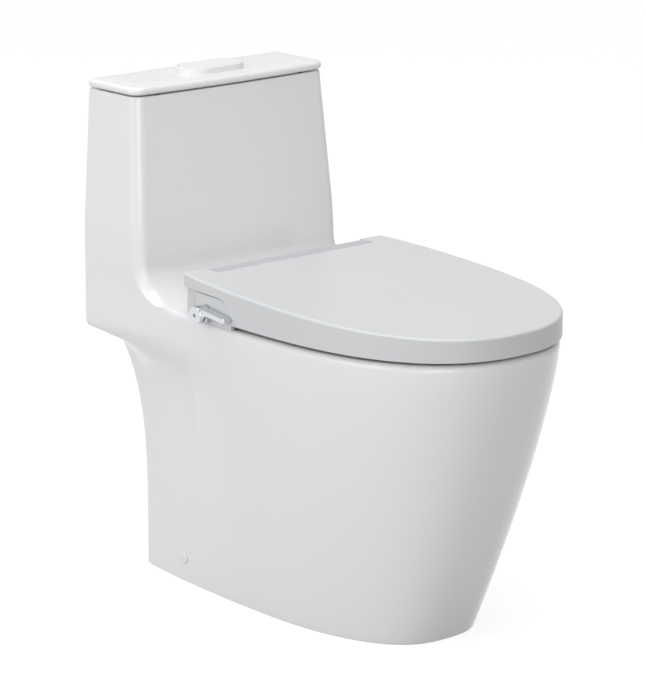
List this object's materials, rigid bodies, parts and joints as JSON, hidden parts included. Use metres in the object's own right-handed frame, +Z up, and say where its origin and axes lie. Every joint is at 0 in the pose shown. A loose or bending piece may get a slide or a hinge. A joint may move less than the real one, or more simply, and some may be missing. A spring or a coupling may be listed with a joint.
{
  "type": "toilet with bidet seat",
  "caption": "One-piece skirted floor toilet with a top-flush cistern and a bidet seat: hinged lid and seat, selector lever on the left cheek, and nozzles that slide out.",
  "frame": {"origin": "centre of the floor outlet, on the floor", "axes": "+Z up; -Y towards the front of the bowl; +X towards the right-hand side of someone who faces the toilet, away from the selector lever"},
  "size_m": [0.3941, 0.6791, 0.7067],
  "materials": {
    "china": "glossy glaze",
    "rubber_seal": "matt",
    "steel": "satin",
    "white_trim": "glossy",
    "nylon": "matt",
    "valve_white": "matt",
    "valve_blue": "matt",
    "float_grey": "matt",
    "hose": "matt",
    "seat_plastic": "glossy",
    "buffer": "matt",
    "damper": "matt",
    "valve_grey": "matt",
    "brass": "polished",
    "lever_chrome": "polished",
    "spindle": "matt",
    "lever_blue": "glossy",
    "nozzle": "glossy"
  },
  "bodies": {
    "toilet": {"china_cistern": "china", "china_pedestal": "china", "china_bowl": "china", "outlet_seal": "rubber_seal", "floor_brackets": "steel", "side_screws": "steel", "side_bushes": "nylon", "side_caps": "white_trim", "fill_valve_body": "valve_white", "fill_valve_washer": "rubber_seal", "fill_valve_nut": "nylon", "fill_valve_cap": "valve_white", "refill_tube": "hose", "flush_valve_base": "valve_white", "flush_valve_gasket": "rubber_seal", "flush_valve_screws": "steel", "flush_cage": "valve_blue", "tower_head": "valve_white", "half_flush_float": "float_grey", "mounting_plate": "steel", "seat_bolts": "steel", "seat_bolt_sleeves": "rubber_seal", "seat_bolt_nuts": "nylon", "unit_lower_shell": "seat_plastic", "unit_top_cover": "seat_plastic", "hinge_pins": "steel", "lid_damper": "damper", "seat_damper": "damper", "selector_valve": "valve_grey", "inlet_fitting": "brass", "bidet_hoses": "hose", "nozzle_carrier": "valve_grey", "nozzle_guard": "nozzle", "nozzle_springs": "steel"},
    "fill_float": {"fill_float": "float_grey"},
    "float_arm": {"float_arm": "valve_white"},
    "canister": {"flush_canister": "valve_blue", "canister_seal": "rubber_seal", "overflow_pipe": "valve_blue"},
    "cistern_lid": {"tank_lid": "china", "tank_lid_pads": "rubber_seal", "flush_plate": "white_trim", "flush_plate_nut": "nylon", "full_button_spring": "steel", "half_button_spring": "steel"},
    "full_button": {"full_button": "white_trim", "full_push_rod": "valve_white"},
    "half_button": {"half_button": "white_trim", "half_push_rod": "valve_white"},
    "rear_nozzle": {"rear_nozzle": "nozzle"},
    "front_nozzle": {"front_nozzle": "nozzle"},
    "selector": {"selector_lever": "lever_chrome", "lever_spindle": "spindle", "lever_mark": "lever_blue"},
    "seat": {"seat_ring": "seat_plastic", "seat_bumpers": "buffer"},
    "lid": {"seat_lid": "seat_plastic", "lid_bumpers": "buffer"}
  },
  "joints": [
    {"name": "seat_hinge", "type": "hinge", "parent": "toilet", "child": "seat", "pos_m": [0, 0.057, 0.447], "axis": [-1, 0, 0], "range_deg": [0, 98]},
    {"name": "lid_hinge", "type": "hinge", "parent": "seat", "child": "lid", "pos_m": [0, 0.057, 0.447], "axis": [1, 0, 0], "range_deg": [-105, 0]},
    {"name": "cistern_lid_lift", "type": "slide", "parent": "toilet", "child": "cistern_lid", "axis": [0, 0, 1], "range_m": [0, 0.12]},
    {"name": "flush_canister_lift", "type": "slide", "parent": "toilet", "child": "canister", "axis": [0, 0, 1], "range_m": [0, 0.024]},
    {"name": "full_button_press", "type": "slide", "parent": "cistern_lid", "child": "full_button", "axis": [0, 0, -1], "range_m": [0, 0.0035], "stiffness_N_per_m": 400, "springref_m": -0.002, "deforming": ["full_button_spring"]},
    {"name": "half_button_press", "type": "slide", "parent": "cistern_lid", "child": "half_button", "axis": [0, 0, -1], "range_m": [0, 0.0035], "stiffness_N_per_m": 400, "springref_m": -0.002, "deforming": ["half_button_spring"]},
    {"name": "fill_float_rise", "type": "slide", "parent": "toilet", "child": "fill_float", "axis": [0, 0, 1], "range_m": [0, 0.008]},
    {"name": "float_arm_turn", "type": "hinge", "parent": "toilet", "child": "float_arm", "pos_m": [-0.084, 0.227, 0.65], "axis": [0, 1, 0], "range_deg": [0, 16]},
    {"name": "selector_turn", "type": "hinge", "parent": "toilet", "child": "selector", "pos_m": [-0.16, 0.013, 0.4225], "axis": [1, 0, 0], "range_deg": [-45, 45]},
    {"name": "rear_nozzle_out", "type": "slide", "parent": "toilet", "child": "rear_nozzle", "axis": [0, -0.9063, -0.4226], "range_m": [0, 0.065], "stiffness_N_per_m": 4, "springref_m": -0.02},
    {"name": "front_nozzle_out", "type": "slide", "parent": "toilet", "child": "front_nozzle", "axis": [0, -0.9063, -0.4226], "range_m": [0, 0.065], "stiffness_N_per_m": 4, "springref_m": -0.02}
  ],
  "couplings": [
    {"joint": "full_button_press", "follows": "flush_canister_lift", "ratio": 0.1458},
    {"joint": "float_arm_turn", "follows": "fill_float_rise", "rad_per_m": 34.9}
  ]
}
